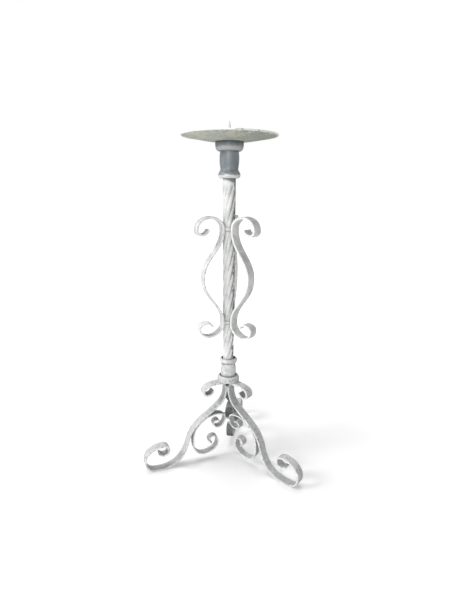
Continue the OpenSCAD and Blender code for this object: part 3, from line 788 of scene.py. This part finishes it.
waist = []
heights = [WAIST_Z + WAIST_BEAD_LEN * (i / WAIST_BEAD_STEPS - 0.5) for i in range(WAIST_BEAD_STEPS + 1)]
for gap in gaps:
    a = math.radians(gap)
    waist.append([(2 * APOTHEM * math.cos(a), 2 * APOTHEM * math.sin(a), z) for z in heights])
beads("waist_beads", waist, WAIST_BEAD_R)

# Along the leg's underside, at each side of the brace, with a point every millimetre
touches = []
face = Vector(beside(TOUCH, -BAR_T / 2)[:2])
run = [face + towards(TOUCH[2]) * (s - TOUCH_BEAD_LEN / 2) for s in range(TOUCH_BEAD_LEN + 1)]
for azimuth in ARMS.values():
    turn = Matrix.Rotation(math.radians(azimuth), 3, "Z")
    for side in (-1, 1):
        touches.append([turn @ Vector((p.x, side * BRACE_W / 2, p.y)) for p in run])
beads("brace_beads", touches, TOUCH_BEAD_R)

# The column: a grid tube, closed at both ends, that the tree twists
ROUND, LAYERS = 96, 290
ring = circle(COL_D / 2, ROUND)
points = [(x, y, COL_Z + COL_LEN * n / LAYERS) for n in range(LAYERS + 1) for x, y in ring]
faces = [(n * ROUND + k, n * ROUND + (k + 1) % ROUND, (n + 1) * ROUND + (k + 1) % ROUND, (n + 1) * ROUND + k)
         for n in range(LAYERS) for k in range(ROUND)]
faces.append(tuple(range(ROUND - 1, -1, -1)))
faces.append(tuple(LAYERS * ROUND + k for k in range(ROUND)))
TWIST_LOW_Z, TWIST_HIGH_Z, TWIST_FADE = LOW_MOUTH_Z - 6, UP_MOUTH_Z - NECK_LEN + 2, 14
column = shaped(as_object("column_bar", points, faces=faces), TWIST, Radius=COL_D / 2 * MM,
                Depth=FLUTE_DEEP * MM, Flutes=float(FLUTES), Pitch=TWIST_PITCH * MM, Low=TWIST_LOW_Z * MM,
                High=TWIST_HIGH_Z * MM, Fade=TWIST_FADE * MM, End=COL_END_D / 2 * MM,
                Dent=COLUMN_DENT * MM, Spacing=COLUMN_DENT_EVERY * MM, Material=WORN_SHADED_WHITE)
stands_for(column, "white_paint", "twisted_column")


def socket_outline():
    """A socket's outline: from the middle of its cup's face round the outside, down the flared mouth and the
    bore to the axis. Its corners are (reach, height over the cup's face, rounding)."""
    cup = [(0, 0, 0), (33.3, 0, 1.2), (33.5, 7, 3), (32.8, 12.0, 3), (30.2, 16.8, 3), (26.6, 19.0, 3),
           (24.4, 18.0, 1.5), (23.0, 15, 1)]
    barrel = [(21.4 + 2.0 * math.sin(math.pi * i / 10), 15 + 39 * i / 10, 0) for i in range(11)]
    mouth = [(21.2, 55.6, 1), (22.6, 58.0, 2), (26.2, 63.4, 3), (27.0, 66.2, 2), (26.3, 69.6, 2.5),
             (24.0, 73.0, 2), (21.2, 74, 1), (19.8, 73.2, 1)]
    bore = [(16.5, 62, 1), (16.4, 15, 0.5), (0, 14, 0)]
    return rounded(cup + barrel + mouth + bore)


low = turned("lower_casting", [(x, LEG_TOP + z) for x, z in socket_outline()], WHITE)
stands_for(low, "white_paint", "lower_socket")
high = turned("upper_casting", [(x, PAN_Z - z) for x, z in socket_outline()][::-1], GREY)
stands_for(high, "grey_iron", "upper_socket")


PAN_HOLE_R, DISH_CURVE, DISH_STEPS = 4.3, 1.25, 20
PAN_SIDES, RIM_STEPS = 192, 16


def pan_outline():
    """The pan's sheet from its middle hole under the flat floor to the rim, and back over it."""
    floor_r, reach = PAN_FLOOR_D / 2, PAN_D / 2 - RIM_R
    rise = PAN_RISE - RIM_R
    dish = [(floor_r + (reach - floor_r) * i / DISH_STEPS, rise * (i / DISH_STEPS) ** DISH_CURVE)
            for i in range(DISH_STEPS + 1)]
    under = [(PAN_HOLE_R, 0), (20, 0)] + dish
    return [(x, PAN_Z + z) for x, z in under] + [(x, PAN_FLOOR_Z + z) for x, z in under[::-1]]


stands_for(turned("pan_sheet", pan_outline(), ZINC, sides=PAN_SIDES), "aged_zinc", "drip_pan")
rim_reach, rim_z = PAN_D / 2 - RIM_R, PAN_Z + PAN_RISE - RIM_R + PAN_T / 2
rolled_edge = [(rim_reach + x, rim_z + z) for x, z in circle(RIM_R, RIM_STEPS)]
stands_for(turned("pan_rim", rolled_edge, RIM, sides=PAN_SIDES), "aged_zinc")

tip, foot = PAN_FLOOR_Z + SPIKE_H, PAN_Z - WEB + 0.5
spike = rounded([(0, foot, 0), (SHANK_D / 2, foot, 0.6), (SHANK_D / 2, WASHER_TOP_Z, 0.3),
                 (SPIKE_D / 2, WASHER_TOP_Z + 0.2, 0.2), (SPIKE_D / 2, tip - POINT_LEN, 3),
                 (0.8, tip - 1, 0.8), (0, tip, 0)])
stands_for(turned("spike_bar", spike, WHITE, sides=48), "pale_spike", "pricket_spike")
washer = rounded([(SHANK_D / 2, PAN_FLOOR_Z, 0), (WASHER_D / 2, PAN_FLOOR_Z, 0.3),
                  (WASHER_D / 2 - 0.3, PAN_FLOOR_Z + 1.4, 0.6), (WASHER_D / 2 - 1.2, WASHER_TOP_Z, 0.4),
                  (SHANK_D / 2, WASHER_TOP_Z, 0)])
stands_for(turned("washer_plate", washer, ZINC, sides=64), "aged_zinc", "spike_washer")

# The nuts and the stud keep their solids and take the steel finish
for name in ("spike_nut", "stud_nut", "core_stud"):
    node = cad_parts[name]
    node.data.materials.clear()
    node.data.materials.append(STEEL)

# -------------------------------------------------------- camera, floor and light
CAMERA_DISTANCE, CAMERA_HEIGHT = 1086.4 * MM, 788.7 * MM
CAMERA_ORBIT, CAMERA_YAW, CAMERA_PITCH, CAMERA_ROLL = 9.148, 0.253, 28.910, 0.460
FRAME_HEIGHT, FOCAL_PIXELS, CENTRE_ROW, SENSOR = 616, 389.25, 405, 36

orbit, turn = math.radians(CAMERA_ORBIT), math.radians(CAMERA_YAW - CAMERA_ORBIT)
pitch, roll = math.radians(CAMERA_PITCH), math.radians(CAMERA_ROLL)
ahead = Vector((math.sin(turn) * math.cos(pitch), math.cos(turn) * math.cos(pitch), -math.sin(pitch)))
right = Vector((math.cos(turn), -math.sin(turn), 0))
upward = right.cross(ahead)
side = math.cos(roll) * right + math.sin(roll) * upward
above = -math.sin(roll) * right + math.cos(roll) * upward
camera = bpy.data.objects.new("camera", bpy.data.cameras.new("camera"))
bpy.context.scene.collection.objects.link(camera)
eye = Vector((CAMERA_DISTANCE * math.sin(orbit), -CAMERA_DISTANCE * math.cos(orbit), CAMERA_HEIGHT))
camera.matrix_world = Matrix.Translation(eye) @ Matrix((side, above, -ahead)).transposed().to_4x4()
camera.data.sensor_width = SENSOR
camera.data.lens = FOCAL_PIXELS / FRAME_HEIGHT * SENSOR
camera.data.shift_y = (CENTRE_ROW - FRAME_HEIGHT / 2) / FRAME_HEIGHT
bpy.context.scene.camera = camera

# The floor is lifted to white for the eye alone, wholly so away from the stand. Lamps and bounces see paper
FLOOR, FLOOR_GLOW, GLOW_FROM, GLOW_FULL = 30000, 0.222, 420, 1200
corners = [(-FLOOR, -FLOOR, 0), (FLOOR, -FLOOR, 0), (FLOOR, FLOOR, 0), (-FLOOR, FLOOR, 0)]
floor = as_object("floor", corners, faces=[(0, 1, 2, 3)])
paper, tree, shader = finish("white_floor", 0.9, specular=0.0)
shader.inputs["Base Color"].default_value = colour("#F0F0F0")
seen = add(tree, "ShaderNodeLightPath")
place = add(tree, "ShaderNodeTexCoord")
away = add(tree, "ShaderNodeVectorMath", {0: place.outputs["Object"]}, operation="LENGTH")
glow = add(tree, "ShaderNodeMapRange",
           {0: away.outputs["Value"], 1: GLOW_FROM * MM, 2: GLOW_FULL * MM, 3: FLOOR_GLOW, 4: 1.0},
           interpolation_type="SMOOTHSTEP")
glow = calc(tree, "MULTIPLY", seen.outputs["Is Camera Ray"], glow.outputs[0])
lift = add(tree, "ShaderNodeEmission", {"Strength": glow})
both = add(tree, "ShaderNodeAddShader", {0: shader.outputs[0], 1: lift.outputs[0]})
tree.links.new(both.outputs[0], tree.nodes["Material Output"].inputs["Surface"])
floor.data.materials.append(paper)

world = bpy.data.worlds.new("studio")
bpy.context.scene.world = world
world.use_nodes = True
tree = world.node_tree
sky = tree.nodes["Background"]
sky.inputs["Color"].default_value = (1, 1, 1, 1)
path = add(tree, "ShaderNodeLightPath")
shown = calc(tree, "MAXIMUM", path.outputs["Is Glossy Ray"], path.outputs["Is Transmission Ray"])
shown = calc(tree, "MAXIMUM", path.outputs["Is Camera Ray"], shown)
# The world is white to the eye and in reflections, and a weak fill light for the rest
FILL = 0.165
tree.links.new(calc(tree, "MULTIPLY_ADD", shown, 1 - FILL, FILL), sky.inputs["Strength"])


# The stand's middle, at which the lamps are aimed, in metres
MIDDLE = Vector((0, 0, 0.45))


def lamp(name, azimuth, rise, distance, size, power):
    """A soft square lamp aimed at the stand's middle; degrees, metres and watts."""
    light = bpy.data.objects.new(name, bpy.data.lights.new(name, "AREA"))
    bpy.context.scene.collection.objects.link(light)
    a, r = math.radians(azimuth), math.radians(rise)
    away = Vector((math.cos(a) * math.cos(r), math.sin(a) * math.cos(r), math.sin(r)))
    light.location = MIDDLE + away * distance
    light.rotation_euler = (-away).to_track_quat("-Z", "Y").to_euler()
    light.data.size = size
    light.data.energy = power


lamp("key", 205, 34, 4.2, 1.2, 76)
lamp("front", 266, 16, 3.8, 2.4, 60)
lamp("top", 130, 80, 6.0, 3.6, 208)
bpy.context.scene.view_settings.view_transform = "Standard"
